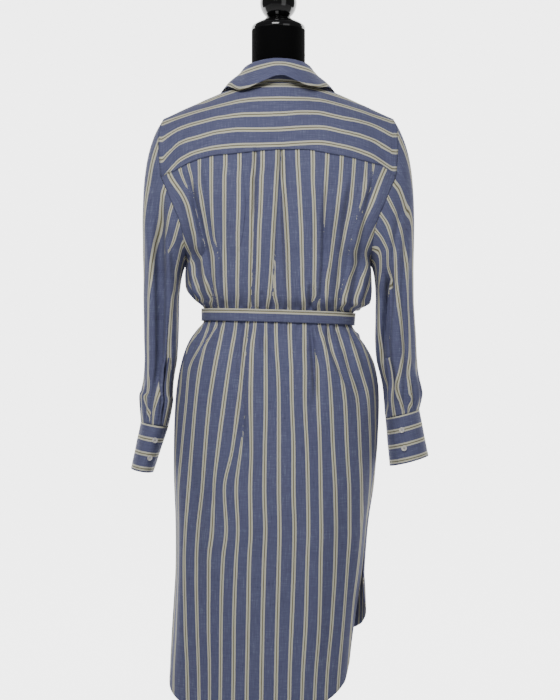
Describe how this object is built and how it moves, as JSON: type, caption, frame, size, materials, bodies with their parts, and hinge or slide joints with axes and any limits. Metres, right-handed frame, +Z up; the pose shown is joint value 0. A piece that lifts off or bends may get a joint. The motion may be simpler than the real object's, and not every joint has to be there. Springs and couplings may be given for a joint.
{
  "type": "shirt dress on a dress form",
  "caption": "Long-sleeved midi shirt dress with a back pleat, collar, cuffs, tie belt and curved hem, worn by a limbless dress form on a round base.",
  "frame": {"origin": "middle of the round base's underside, on the floor", "axes": "+Z up; the dress's front faces -Y; the wearer's left is +X"},
  "size_m": [0.5522, 0.34, 1.6341],
  "materials": {
    "striped_chambray": "blue chambray with double cream stripes, matt",
    "pearl_buttons": "pearly, glossy",
    "black_form_cover": "black jersey cover, matt",
    "black_gloss": "black lacquer, glossy",
    "black_metal": "black, satin"
  },
  "bodies": {
    "root": {"back": "striped_chambray", "belt": "striped_chambray", "belt_knot": "striped_chambray", "belt_tail_left": "striped_chambray", "belt_tail_right": "striped_chambray", "button_band": "striped_chambray", "collar": "striped_chambray", "collar_stand": "striped_chambray", "cuff_left": "striped_chambray", "cuff_left_button_1": "pearl_buttons", "cuff_left_button_2": "pearl_buttons", "cuff_right": "striped_chambray", "cuff_right_button_1": "pearl_buttons", "cuff_right_button_2": "pearl_buttons", "form_base": "black_metal", "form_cap": "black_gloss", "form_finial": "black_gloss", "form_neck": "black_form_cover", "form_pole": "black_metal", "form_torso": "black_form_cover", "front_button_1": "pearl_buttons", "front_button_2": "pearl_buttons", "front_button_3": "pearl_buttons", "front_button_4": "pearl_buttons", "front_button_5": "pearl_buttons", "front_button_6": "pearl_buttons", "front_button_7": "pearl_buttons", "front_button_8": "pearl_buttons", "front_button_9": "pearl_buttons", "front_button_10": "pearl_buttons", "front_left": "striped_chambray", "front_right": "striped_chambray", "sleeve_left": "striped_chambray", "sleeve_placket_left": "striped_chambray", "sleeve_placket_right": "striped_chambray", "sleeve_right": "striped_chambray", "yoke": "striped_chambray"}
  },
  "joints": []
}
